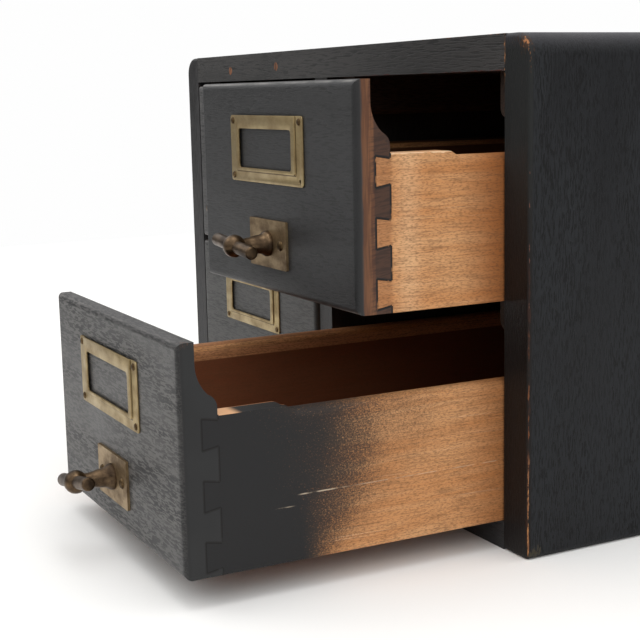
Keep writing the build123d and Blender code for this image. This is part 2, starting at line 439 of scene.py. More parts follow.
@dataclass(frozen=True)
class DovetailLines(Mark):
    """Dark lines round the tails, where the joint has opened a little.

    Args:
        front: Depth of the drawer front's face, in metres.
        floor: Height of the drawer's underside, in metres.
        pitch: Distance between tails.
        first: Height of the first tail's middle.
        thick: Thickness of the front at the tails.
        length: Length of a tail.
        end_width: Width of a tail at its end.
        root_width: Width of a tail at its root.
        joint_height: Height of the joint above the underside.
        width: Width of the line.
        colour: Colour of the line.
    """

    front: float
    floor: float
    pitch: float = 25.4 * MM
    first: float = 8.4 * MM
    thick: float = 16.1 * MM
    length: float = 7.1 * MM
    end_width: float = 13.3 * MM
    root_width: float = 10.8 * MM
    joint_height: float = 67.0 * MM
    width: float = 1.4 * MM
    colour: str = "#080505"

    def mask(self, skin: Skin) -> Socket:
        """Mask the lines.

        Args:
            skin: Nodes of the finish.

        Returns:
            Mask socket.
        """
        low = self.floor + self.first - self.pitch / 2
        # The joint repeats upwards, so one tail is measured from its own middle.
        tail = skin.place(Grain.UPRIGHT)
        tile = skin.add(MATH, {"operation": "WRAP", 0: tail, 1: low + self.pitch, 2: low})
        middle = skin.add(MATH, {"operation": "SUBTRACT", 0: tile, 1: low + self.pitch / 2})
        height = skin.add(MATH, {"operation": "ABSOLUTE", 0: middle})
        root, end = self.front + self.thick, self.front + self.thick - self.length
        taper = {"From Min": end, "From Max": root, "Value": skin.place(Grain.DEEP)}
        half = skin.add(RANGE, taper | {"To Min": self.end_width / 2, "To Max": self.root_width / 2})
        off = skin.add(MATH, {"operation": "SUBTRACT", 0: height, 1: half})
        gap = skin.add(MATH, {"operation": "ABSOLUTE", 0: off})
        flank = skin.add(RANGE, {"From Min": self.width / 2, "From Max": self.width / 4, "Value": gap} | SOFT)
        inside = skin.add(RANGE, {"From Min": 0.1 * MM, "From Max": -0.1 * MM, "Value": off} | SOFT)
        outside = skin.add(MATH, {"operation": "SUBTRACT", 0: 1.0, 1: inside})
        third = self.width / 3
        lines = skin.overlap(flank, skin.stretch(Grain.DEEP, end, root, 0.1 * MM))
        for side, at in ((inside, end), (outside, root)):
            level = skin.overlap(side, skin.stretch(Grain.DEEP, at - third, at + third, 0.15 * MM))
            lines = skin.add(MATH, {"operation": "MAXIMUM", 0: lines, 1: level})
        broken = skin.patches(skin.space(Grain.UPRIGHT, 5, 3), 0.25, 0.42, 2.0)
        joint = skin.stretch(Grain.UPRIGHT, -FAR, self.floor + self.joint_height, 0.3 * MM)
        return skin.overlap(lines, broken, joint)


@dataclass(frozen=True)
class Overspray(Mark):
    """Black stain that ran out over one side of a drawer box in a speckled fade.

    Args:
        front: Depth of the drawer's front face, in metres.
        floor: Height of the drawer's underside, in metres.
        inner: Place of the board's inner face on X, in metres.
        solid: How far behind the front the black is whole.
        fade: Length of the speckled fade at the bottom edge.
        widening: Length that the fade gains for each unit of height.
        colour: Colour of the stain on the maple.
    """

    front: float
    floor: float
    inner: float
    solid: float = 56.0 * MM
    fade: float = 20.0 * MM
    widening: float = 1.0
    colour: str = "#1b1b1c"

    def mask(self, skin: Skin) -> Socket:
        """Mask the stain.

        Args:
            skin: Nodes of the finish.

        Returns:
            Mask socket.
        """
        start = self.front + self.solid
        behind = skin.add(MATH, {"operation": "SUBTRACT", 0: skin.place(Grain.DEEP), 1: start})
        above = skin.add(MATH, {"operation": "SUBTRACT", 0: skin.place(Grain.UPRIGHT), 1: self.floor})
        length = skin.add(MATH, {"operation": "MULTIPLY_ADD", 0: above, 1: self.widening, 2: self.fade})
        share = skin.add(MATH, {"operation": "DIVIDE", 0: behind, 1: length})
        # The edge of the spray swings a little over 35 mm, and its droplets are about 0.5 mm across.
        swing = skin.add(NOISE, {"Scale": 1.0, "Detail": 1.0, "Vector": skin.space(Grain.DEEP, 35, 35, 3.3)})
        grit = skin.space(Grain.DEEP, 0.8, 0.55)
        drops = skin.add(NOISE, {"Scale": 1.0, "Detail": 2.0, "Roughness": 0.8, "Vector": grit})
        wander = skin.add(MATH, {"operation": "MULTIPLY_ADD", 0: swing, 1: 0.7, 2: share})
        rising = {"From Min": -0.2, "From Max": 1.35, "To Min": 0.06, "To Max": 0.7, "Value": wander}
        over = skin.add(MATH, {"operation": "SUBTRACT", 0: drops, 1: skin.add(RANGE, rising)})
        speckle = skin.add(RANGE, {"From Min": -0.17, "From Max": 0.17, "Value": over} | SOFT)
        mist = skin.add(RANGE, {"From Min": 1.65, "From Max": 0.15, "Value": wander} | SOFT)
        both = skin.add(MATH, {"operation": "MULTIPLY_ADD", 0: speckle, 1: 0.6, 2: skin.overlap(mist, 0.4)})
        return skin.overlap(both, skin.stretch(Grain.ACROSS, self.inner + 0.6 * MM, FAR, 0.3 * MM))


@dataclass(frozen=True)
class StainedOak:
    """Oak under a matt black stain: the open pores stay as fine dark dashes along the grain.

    Args:
        name: Name of the finish.
        grain: Direction of the fibres.
        stain: Colour of the stained surface.
        flush: Colour where the stain is thin.
        pore: Colour inside the pores.
        roughness: Roughness of the surface.
        specular: Strength of the shine.
        shift: Offset of the figure.
        pore_length: Length of a pore, in millimetres.
        pore_width: Width of a pore, in millimetres. Real ones are 0.3 mm, drawn wider so that they show.
        pore_depth: Depth of a pore, in millimetres.
        pore_tone: How dark the pores are.
        pore_level: Noise level above which there is a pore: low gives more of them.
        ends: Where the board's sawn ends are along the grain, in metres: they show no dashes.
        marks: What else is on the board.
    """

    name: str
    grain: Grain
    stain: str
    flush: str
    pore: str = "#121212"
    roughness: float = 0.5
    specular: float = 0.4
    shift: float = 0.0
    pore_length: float = 8.0
    pore_width: float = 0.6
    pore_depth: float = 0.12
    pore_tone: float = 0.75
    pore_level: float = 0.48
    ends: tuple[float, float] = (-FAR, FAR)
    marks: tuple[Mark, ...] = ()

    def build(self) -> bpy.types.Material:
        """Build the material.

        Returns:
            The material.
        """
        skin = Skin(bpy.data.materials.new(self.name))
        # Growth bands are about 9 mm wide, and the pores crowd in them. Clouds of thin stain are 90 mm long
        # and 26 mm wide; on the lower right front their flush colour is partly painted reflection.
        bands = skin.patches(skin.space(self.grain, 160, 9, self.shift), 0.35, 0.6, 2.0, 0.6)
        space = skin.space(self.grain, self.pore_length, self.pore_width, self.shift)
        dashes = skin.patches(space, self.pore_level, self.pore_level + 0.1, 2.0)
        crowd = skin.add(RANGE, {"To Min": 0.6, "Value": bands})
        between = skin.stretch(self.grain, self.ends[0] + 0.4 * MM, self.ends[1] - 0.4 * MM, 0.2 * MM)
        pores = skin.overlap(dashes, crowd, between)
        cloud = skin.patches(skin.space(self.grain, 90, 26, self.shift + 4), 0.3, 0.7, 3.0, 0.4)
        layers = [(cloud, self.flush), (skin.overlap(pores, self.pore_tone), self.pore), *self.marks]
        rough = {"To Min": self.roughness - 0.05, "To Max": self.roughness + 0.1, "Value": cloud}
        dents = {"invert": True, "Strength": 0.7, "Distance": self.pore_depth * MM, "Height": pores}
        return skin.finished(
            {
                "Base Color": skin.layered(self.stain, layers),
                "Roughness": skin.add(RANGE, rough),
                "Specular IOR Level": self.specular,
                "Normal": skin.add(BUMP, dents),
            }
        )


@dataclass(frozen=True)
class AgedMaple:
    """Planed maple under old clear finish: warm tan, finely mottled with short darker flecks.

    Args:
        name: Name of the finish.
        grain: Direction of the fibres.
        wood: Main colour.
        deep: Colour of the broad darker streaks.
        shift: Offset of the figure.
        tones: Tones of the wood, with painted shade and painted light among them, which the flecks lie on.
        marks: What else is on the board.
        fleck: Colour of the short fibres.
        scratch: Colour of long fine scratches.
    """

    name: str
    grain: Grain
    wood: str = "#cf9b6a"
    deep: str = "#bf824e"
    shift: float = 0.0
    tones: tuple[Mark, ...] = ()
    marks: tuple[Mark, ...] = ()
    fleck: str = "#66442b"
    scratch: str = "#e6c09a"

    def build(self) -> bpy.types.Material:
        """Build the material.

        Returns:
            The material.
        """
        skin = Skin(bpy.data.materials.new(self.name))
        # Streaks are 90 mm long and 8 mm wide. Flecks are 1.7 mm long and 0.5 mm wide, so that they show.
        streak = skin.patches(skin.space(self.grain, 90, 8, self.shift), 0.3, 0.7, 3.0, 0.5)
        flecks = skin.patches(skin.space(self.grain, 1.7, 0.5, self.shift), 0.46, 0.66, 2.0)
        fibres = skin.patches(skin.space(self.grain, 12, 0.7, self.shift), 0.45, 0.7, 2.0)
        scratches = skin.patches(skin.space(self.grain, 70, 0.5, self.shift + 8, 1.5), 0.7, 0.76, 1.0)
        layers = [(streak, self.deep), (skin.overlap(scratches, 0.45), self.scratch), *self.tones]
        layers += [(skin.overlap(flecks, 0.5), self.fleck), (skin.overlap(fibres, 0.4), self.fleck)]
        dents = {"invert": True, "Strength": 0.35, "Distance": 0.05 * MM, "Height": flecks}
        return skin.finished(
            {
                "Base Color": skin.layered(self.wood, [*layers, *self.marks]),
                "Roughness": 0.55,
                "Specular IOR Level": 0.3,
                "Normal": skin.add(BUMP, dents),
            }
        )


@dataclass(frozen=True)
class RawOak:
    """Sawn oak without a sealed surface, for plugs, strips and the back: dull, with short dark pores.

    Args:
        name: Name of the finish.
        grain: Direction of the fibres.
        wood: Main colour.
        dark: Colour of the pores.
    """

    name: str
    grain: Grain
    wood: str
    dark: str

    def build(self) -> bpy.types.Material:
        """Build the material.

        Returns:
            The material.
        """
        skin = Skin(bpy.data.materials.new(self.name))
        # Pores are 5 mm long and 0.7 mm wide, wider than real ones, so that they show.
        pores = skin.patches(skin.space(self.grain, 5, 0.7), 0.42, 0.62, 2.0)
        colour = skin.layered(self.wood, [(pores, self.dark)])
        return skin.finished({"Base Color": colour, "Roughness": 0.65, "Specular IOR Level": 0.3})


@dataclass(frozen=True)
class AgedMetal:
    """Old metal: its own colour, dulled in soft patches, with fine rub lines that blur the shine.

    Args:
        name: Name of the finish.
        metal: Colour of the bare metal.
        tarnish: Colour of the tarnish.
        cover: Noise level above which the metal is tarnished.
        roughness: Roughness of the rubbed metal.
        patch: Width of a tarnished patch, in millimetres.
        marks: Lines of painted shade and the like.
    """

    name: str
    metal: str
    tarnish: str
    cover: float
    roughness: float
    patch: float = 9.0
    marks: tuple[Mark, ...] = ()

    def build(self) -> bpy.types.Material:
        """Build the material.

        Returns:
            The material.
        """
        skin = Skin(bpy.data.materials.new(self.name))
        space = skin.space(Grain.ACROSS, self.patch, self.patch * 0.7)
        spots = skin.patches(space, self.cover - 0.25, self.cover + 0.25, 4.0)
        specks = skin.patches(skin.space(Grain.ACROSS, 0.9, 0.9), 0.6, 0.72, 2.0)
        grime = skin.add(MATH, {"operation": "MULTIPLY_ADD", "use_clamp": True, 0: specks, 1: 0.3, 2: spots})
        # Rub lines are 8 mm long, 0.3 mm wide and 0.01 mm deep.
        lines = skin.patches(skin.space(Grain.ACROSS, 8, 0.3), 0.3, 0.7, 2.0)
        rough = {"To Min": self.roughness, "To Max": self.roughness + 0.2, "Value": grime}
        return skin.finished(
            {
                "Base Color": skin.layered(self.metal, [(grime, self.tarnish), *self.marks]),
                "Metallic": 1.0,
                "Roughness": skin.add(RANGE, rough),
                "Normal": skin.add(BUMP, {"Strength": 0.4, "Distance": 0.01 * MM, "Height": lines}),
            }
        )


def aged_metals() -> dict[str, bpy.types.Material]:
    """Build the metals that the drawers' fittings share.

    Returns:
        Materials by the node's name without the drawer's.
    """
    # Sheet brass has gone brown and dull, pins and screws are darker, turned bronze keeps the most shine
    # on its rounded forms, and the nut's steel is a flat grey.
    brass = AgedMetal("browned sheet brass", "#a48e6c", "#6c5841", 0.5, 0.44, 10.0).build()
    dark = AgedMetal("dark bronze pins and screws", "#7c6748", "#463726", 0.45, 0.36, 3.0).build()
    bronze = AgedMetal("turned bronze with brown patina", "#6f5b45", "#3a2f26", 0.48, 0.3, 7.0).build()
    steel = AgedMetal("dull steel nut", "#8d8d8a", "#55524d", 0.6, 0.42).build()
    plates = {"label_frame": brass, "pull_plate": brass, "label_pins": dark, "plate_screws": dark}
    return plates | {"pull": bronze, "pull_nut": steel}


def matt_paper() -> bpy.types.Material:
    """Build the matt white paper under the cabinet, with a faint 0.8 mm grit and no shine.

    Returns:
        The material.
    """
    skin = Skin(bpy.data.materials.new("matt white studio paper"))
    grit = skin.patches(skin.space(Grain.ACROSS, 0.8, 0.8), 0.3, 0.7, 1.0)
    colour = skin.layered("#f8f7f5", [(skin.overlap(grit, 0.04), "#d8d7d5")])
    return skin.finished({"Base Color": colour, "Roughness": 0.75})


def pick(*pieces: bpy.types.Object) -> None:
    """Select these objects alone, with the first of them active, or none at all.

    Args:
        pieces: The objects.
    """
    bpy.ops.object.select_all(action="DESELECT")
    for piece in pieces:
        piece.select_set(True)
    if pieces:
        bpy.context.view_layer.objects.active = pieces[0]


def dress_node(node: bpy.types.Object, material: bpy.types.Material) -> None:
    """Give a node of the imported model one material.

    Args:
        node: The node's object.
        material: The material.
    """
    if not node.material_slots:
        node.data.materials.append(material)
    for place in node.material_slots:
        place.material = material
    LOG.info("dressed %s with %s", node.name, material.name)


def finish_piece(name: str, finish: bpy.types.Material, smooth_angle: float = 35.0) -> bpy.types.Object:
    """Name the active object, put its place into its mesh, and give it its finish.

    Args:
        name: Name of the piece.
        finish: Material of the piece.
        smooth_angle: Angle in degrees under which edges are shaded smooth.

    Returns:
        The finished object.
    """
    piece = bpy.context.active_object
    piece.name = name
    piece.data.name = name
    bpy.ops.object.transform_apply()
    bpy.ops.object.shade_smooth_by_angle(angle=math.radians(smooth_angle))
    piece.data.materials.clear()
    piece.data.materials.append(finish)
    return piece


def soften(width: float, segments: int = 2) -> None:
    """Bevel the active object's sharp edges and apply the modifier.

    Args:
        width: Width of the bevel, in metres.
        segments: Segments of the bevel.
    """
    bevel = bpy.context.active_object.modifiers.new("soft edges", "BEVEL")
    bevel.width = width
    bevel.segments = segments
    bevel.limit_method = "ANGLE"
    bevel.angle_limit = math.radians(40)
    bpy.ops.object.modifier_apply(modifier=bevel.name)


def carve(piece: bpy.types.Object, tool: bpy.types.Object, carving: Carving = Carving.CUT) -> None:
    """Cut a tool's shape out of a piece or add it, and delete the tool.

    Args:
        piece: The piece that changes.
        tool: The shape that is cut or added.
        carving: Whether it is cut or added.
    """
    pick(piece)
    change = piece.modifiers.new("carving", "BOOLEAN")
    change.operation = carving.value
    change.object = tool
    bpy.ops.object.modifier_apply(modifier=change.name)
    bpy.data.objects.remove(tool)


def sheet_block(
    low: Vector, high: Vector, radius: float = 0.0, rounded_below: float = math.inf
) -> bpy.types.Object:
    """Model a block whose corners, seen from the front, are rounded.

    Args:
        low: Lower corner.
        high: Upper corner.
        radius: Radius of the corners, or 0 for sharp ones.
        rounded_below: Height under which corners are rounded.

    Returns:
        The block's object, active and selected.
    """
    pick()
    bpy.ops.mesh.primitive_cube_add(size=1, location=(low + high) / 2, scale=high - low)
    piece = bpy.context.active_object
    bpy.ops.object.transform_apply()
    if radius > 0:
        bpy.ops.object.mode_set(mode="EDIT")
        bpy.ops.mesh.select_mode(type="EDGE")
        bpy.ops.mesh.select_all(action="DESELECT")
        bpy.ops.object.mode_set(mode="OBJECT")
        for edge in piece.data.edges:
            start, end = (piece.data.vertices[index].co for index in edge.vertices)
            through = abs(start.x - end.x) < 0.01 * MM and abs(start.z - end.z) < 0.01 * MM
            edge.select = through and start.z < rounded_below
        bpy.ops.object.mode_set(mode="EDIT")
        bpy.ops.mesh.bevel(offset=radius, segments=6, affect="EDGES")
        bpy.ops.object.mode_set(mode="OBJECT")
    return piece


def turned(foot: Vector, profile: list[tuple[float, float]], sides: int = 48) -> bpy.types.Object:
    """Model a turned piece that stands out of the drawer front.

    Args:
        foot: Where its axis meets the plane that the profile is measured from.
        profile: Distance from that plane and radius at each step, in metres.
        sides: Sides of the circle.

    Returns:
        The piece's object, active and selected.
    """
    pick()
    start, size = profile[0]
    bpy.ops.mesh.primitive_circle_add(
        vertices=sides,
        radius=size,
        fill_type="NGON",
        location=(foot.x, foot.y - start, foot.z),
        rotation=(math.radians(90), 0, 0),
    )
    bpy.ops.object.transform_apply()
    bpy.ops.object.mode_set(mode="EDIT")
    bpy.ops.mesh.select_all(action="SELECT")
    for reach, radius in profile[1:]:
        bpy.ops.mesh.extrude_region_move(TRANSFORM_OT_translate={"value": (0, start - reach, 0)})
        grow = radius / size
        bpy.ops.transform.resize(value=(grow, 1, grow), center_override=(foot.x, foot.y - reach, foot.z))
        start, size = reach, radius
    bpy.ops.mesh.select_all(action="SELECT")
    bpy.ops.mesh.normals_make_consistent(inside=False)
    bpy.ops.object.mode_set(mode="OBJECT")
    return bpy.context.active_object


@dataclass(frozen=True)
class Case:
    """The fixed case: sides, rail, panels, divider, back, strips and plugs.

    Args:
        front_round: Radius of the sides' front edges.
        top_round: Radius of the sides' upper front corner.
        arc_inset: How far a rounded edge lies inside its corner, as a share of the radius.
    """

    front_round: float = 2.0 * MM
    top_round: float = 10.5 * MM
    arc_inset: float = 0.29

    def worn_side_and_sheen(self) -> tuple[Mark, ...]:
        """Give the marks on the right side, which has been knocked most, and the painted highlight on its
        rounded top.

        Returns:
            The marks, the lowest layer first.
        """
        low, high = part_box("case_side_right")
        front, top = low.y, high.z
        inset, arc = self.front_round * self.arc_inset, self.top_round * self.arc_inset
        edge = (high.x - inset, front + inset, 0)
        corner = (high.x - arc, front + inset, top - arc)
        knocked_foot = (high.x, front + 4 * MM, 3 * MM)
        front_face = (-FAR, front + 1.6 * MM, 0.5 * MM)
        upright = Grain.UPRIGHT
        return (
            Zone({Grain.DEEP: front_face}, "#16100d", 0.8),
            Zone({Grain.DEEP: front_face, upright: (155 * MM, FAR, 35 * MM)}, "#212323", 0.85),
            # Painted highlight: the rounded top of the side is lighter, as sheen from the bright ceiling.
            Zone({upright: (top - 3 * MM, FAR, 4.5 * MM)}, "#434146", 0.7),
            Worn(edge, 2.8 * MM, (0, 130 * MM), 0.43, 12.0, "#2c1a13", upright),
            Worn(edge, 1.5 * MM, (2 * MM, 46 * MM), 0.39, 5.0, "#80573a", upright),
            Worn(edge, 1.4 * MM, (48 * MM, 100 * MM), 0.47, 7.0, "#6f4429", upright),
            Worn(edge, 0.9 * MM, (2 * MM, 36 * MM), 0.47, 2.5, "#b98350", upright),
            Worn(edge, 1.0 * MM, (100 * MM, 175 * MM), 0.53, 4.0, "#6b4a3e", upright),
            Worn(corner, 12.0 * MM, (-FAR, front + 2.6 * MM), 0.4, 3.0, "#3a291e"),
            Worn(corner, 8.0 * MM, (-FAR, front + 1.3 * MM), 0.47, 2.5, "#9d6840"),
            Worn(edge, 1.4 * MM, (top - 15 * MM, top - 9 * MM), 0.46, 2.0, "#8f5f3b", upright),
            Worn(knocked_foot, 6.0 * MM, (-FAR, FAR), 0.3, 3.0, "#393429"),
            Worn((low.x, front, 0), 1.2 * MM, (207 * MM, top), 0.4, 4.0, "#9a6b45", upright),
        )

    def worn_rail(self) -> tuple[Mark, ...]:
        """Give the marks on the rail across the front: its joints with the sides, and worn corner lines.

        Returns:
            The marks, the lowest layer first.
        """
        low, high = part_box("case_top_rail")
        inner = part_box("case_side_right")[0].x
        seams = [Zone({Grain.ACROSS: hairline(x, 0.5 * MM)}, "#0f0e0e") for x in (inner, -inner)]
        return (
            *seams,
            Worn((0, low.y, low.z), 1.6 * MM, (50 * MM, inner), 0.46, 7.0, "#4a2016", Grain.ACROSS),
            Worn((0, low.y, high.z), 1.2 * MM, (100 * MM, inner), 0.5, 4.0, "#7d5236", Grain.ACROSS),
            Worn((inner, low.y, 0), 2.0 * MM, (212 * MM, 226 * MM), 0.45, 3.0, "#a87348", Grain.UPRIGHT),
        )

    def finishes(self) -> dict[str, StainedOak | RawOak]:
        """Give the finish of every fixed piece that has one of its own.

        Returns:
            Finishes by node name.
        """
        # The right side is the blackest, its stain darkened further as painted shade, since it faces away
        # from the lamps. It hardly shines, with short, close pores, and the rail's pores are long. The
        # unsealed back is a dull brown, and the plugs are bare and warm.
        return {
            "case_side_right": StainedOak(
                "black stained oak right side",
                Grain.UPRIGHT,
                # Painted shade: this stain is darker than the other faces' since the side faces away from the
                # lamps.
                "#16171a",
                "#1f2124",
                pore="#08080a",
                specular=0.22,
                pore_length=4.0,
                pore_tone=0.9,
                pore_level=0.47,
                marks=self.worn_side_and_sheen(),
            ),
            "case_side_left": StainedOak(
                "black stained oak left side", Grain.UPRIGHT, "#2a292a", "#373637", shift=3.0, specular=0.3
            ),
            "case_top_rail": StainedOak(
                "black stained oak rail",
                Grain.ACROSS,
                "#2b2a29",
                "#3a3837",
                shift=7.0,
                pore_length=12.0,
                pore_width=0.8,
                marks=self.worn_rail(),
            ),
            "case_divider": StainedOak(
                "black stained oak divider", Grain.UPRIGHT, "#262424", "#312e2d", shift=13.0
            ),
            "case_back": RawOak("stained plywood back", Grain.ACROSS, "#3a2c22", "#241b15"),
            "rail_plugs": RawOak("bare oak plug", Grain.UPRIGHT, "#84553a", "#48301f"),
        }

    def dress(self, nodes: dict[str, bpy.types.Object]) -> None:
        """Give every fixed piece its finish.

        Args:
            nodes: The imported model's objects by node name.
        """
        chosen = {name: finish.build() for name, finish in self.finishes().items()}
        panel = StainedOak("black stained oak panel", Grain.ACROSS, "#252526", "#323233", shift=11.0)
        chosen["case_top"] = chosen["case_bottom"] = panel.build()
        strips = RawOak("stained oak strip", Grain.DEEP, "#3b2a20", "#21170f").build()
        for name, node in nodes.items():
            if name.startswith(("runner_", "kicker_")):
                dress_node(node, strips)
            elif name in chosen:
                dress_node(node, chosen[name])


@dataclass(frozen=True)
class LabelFrame:
    """Stamped brass label holder: a flange, a raised panel that is open on top, and a window.

    Args:
        key: Name of the drawer.
        empty: Which of the pins are missing and leave their hole open.
        sheet: Thickness of the sheet.
        proud: How far the panel stands out of the drawer front.
        corner: Radius of the outer corners.
        flange_side: Width of the flange at each side.
        flange_bottom: Height of the flange below the panel.
        window: Width and height of the window.
        window_lift: Height of the window's lower edge above the holder's.
        window_corner: Radius of the window's corners.
        pin_inset: Distance of the pins from the sides.
        pin_rise: Distance of the pins from the lower and upper edge.
        pin_hole: Radius of the hole for a pin.
    """

    key: str
    empty: tuple[int, ...] = ()
    sheet: float = 0.8 * MM
    proud: float = 1.5 * MM
    corner: float = 1.6 * MM
    flange_side: float = 6.6 * MM
    flange_bottom: float = 5.0 * MM
    window: tuple[float, float] = (56.5 * MM, 18.4 * MM)
    window_lift: float = 6.6 * MM
    window_corner: float = 1.8 * MM
    pin_inset: float = 3.1 * MM
    pin_rise: float = 2.6 * MM
    pin_hole: float = 0.9 * MM

    def pin_places(self) -> list[Vector]:
        """Give the places of the four pins on the face of the flange.

        Returns:
            Lower left, upper left, lower right and upper right place.
        """
        low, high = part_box(f"{self.key}_label_frame")
        columns = (low.x + self.pin_inset, high.x - self.pin_inset)
        rows = (low.z + self.pin_rise, high.z - self.pin_rise)
        return [Vector((x, high.y - self.sheet, z)) for x in columns for z in rows]

    def brass(self) -> AgedMetal:
        """Give the holder's finish, with dark lines of painted shade along the foot of the raised panel.

        Returns:
            The finish.
        """
        low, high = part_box(f"{self.key}_label_frame")
        foot = low.z + self.flange_bottom
        left, right = low.x + self.flange_side, high.x - self.flange_side
        beside, below, fade = 0.35 * MM, 0.6 * MM, 0.3 * MM
        # Painted shade: dark lines where the raised panel steps down to the flange.
        lines = [
            Zone({Grain.ACROSS: hairline(x, beside), Grain.UPRIGHT: (foot, FAR, fade)}, "#4a3c26")
            for x in (left - 0.2 * MM, right + 0.2 * MM)
        ]
        level = {Grain.UPRIGHT: hairline(foot - 0.2 * MM, below), Grain.ACROSS: (left, right, fade)}
        lines.append(Zone(level, "#5a4a30"))
        name = f"aged stamped sheet brass {self.key}"
        return AgedMetal(name, "#ad9a72", "#8a7756", 0.52, 0.4, 12.0, marks=tuple(lines))

    def build(self) -> bpy.types.Object:
        """Model the holder over its node.

        Returns:
            The holder's object.
        """
        low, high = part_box(f"{self.key}_label_frame")
        back, clear = high.y, 1 * MM
        left, right, foot = low.x + self.flange_side, high.x - self.flange_side, low.z + self.flange_bottom
        holder = sheet_block(Vector((low.x, back - self.sheet, low.z)), high, self.corner)
        panel_low = Vector((left, back - self.proud, foot))
        panel_high = Vector((right, back - self.sheet / 2, high.z))
        panel = sheet_block(panel_low, panel_high, self.corner, (low.z + high.z) / 2)
        carve(holder, panel, Carving.ADD)
        pocket_low = panel_low + Vector((self.sheet, self.sheet, self.sheet))
        carve(holder, sheet_block(pocket_low, Vector((right - self.sheet, back + clear, high.z + clear))))
        half, sill = self.window[0] / 2, low.z + self.window_lift
        middle = (low.x + high.x) / 2
        opening = sheet_block(
            Vector((middle - half, back - 2 * self.proud, sill)),
            Vector((middle + half, back + clear, sill + self.window[1])),
            self.window_corner,
        )
        carve(holder, opening)
        for index in self.empty:
            hole = [(-2 * MM, self.pin_hole), (2 * MM, self.pin_hole)]
            carve(holder, turned(self.pin_places()[index], hole, 20))
        soften(0.2 * MM)
        return finish_piece(f"{self.key}_label_holder", self.brass().build())


@dataclass(frozen=True)
class Fasteners:
    """Domed pins of the holder and slotted round-head screws of the plate.

    Args:
        key: Name of the drawer.
        pin_radius: Radius of a pin's head.
        pin_height: Height of a pin's head.
        screw_radius: Radius of a screw's head.
        screw_height: Height of a screw's head.
        slot: Width and depth of the screw's slot.
        spacing: Distance between the two screws.
    """

    key: str
    pin_radius: float = 1.6 * MM
    pin_height: float = 0.9 * MM
    screw_radius: float = 2.4 * MM
    screw_height: float = 1.2 * MM
    slot: float = 0.6 * MM
    spacing: float = 27.0 * MM

    @staticmethod
    def dome(radius: float, height: float) -> list[tuple[float, float]]:
        """Give the profile of a domed head with this radius at its foot: distance and radius at each step."""
        angles = [math.radians(step) for step in (0, 18, 36, 54, 70, 82)]
        return [(height * math.sin(angle), radius * math.cos(angle)) for angle in angles]

    def pins(self, places: list[Vector], finish: bpy.types.Material) -> bpy.types.Object:
        """Model the pins that are there.

        Args:
            places: Place of each pin.
            finish: Material of the pins.

        Returns:
            The pins' object.
        """
        first = turned(places[0], self.dome(self.pin_radius, self.pin_height), 24)
        pins = [first]
        for place in places[1:]:
            pick(first)
            bpy.ops.object.duplicate(linked=False)
            bpy.ops.transform.translate(value=place - places[0])
            pins.append(bpy.context.active_object)
        pick(*pins)
        bpy.ops.object.join()
        return finish_piece(f"{self.key}_holder_pins", finish, 60.0)

    def screws(self, finish: bpy.types.Material) -> bpy.types.Object:
        """Model the two screws with their upright slots.

        Args:
            finish: Material of the screws.

        Returns:
            The screws' object.
        """
        low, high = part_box(f"{self.key}_pull_plate")
        centre = (low + high) / 2
        screws = []
        for hand in Hand:
            foot = Vector((centre.x + hand.value * self.spacing / 2, low.y, centre.z))
            screw = turned(foot, self.dome(self.screw_radius, self.screw_height), 32)
            half = Vector((self.slot / 2, self.slot, self.screw_radius * 1.2))
            top = foot - Vector((0, self.screw_height, 0))
            carve(screw, sheet_block(top - half, top + half))
            screws.append(screw)
        pick(*screws)
        bpy.ops.object.join()
        return finish_piece(f"{self.key}_slotted_screws", finish, 40.0)


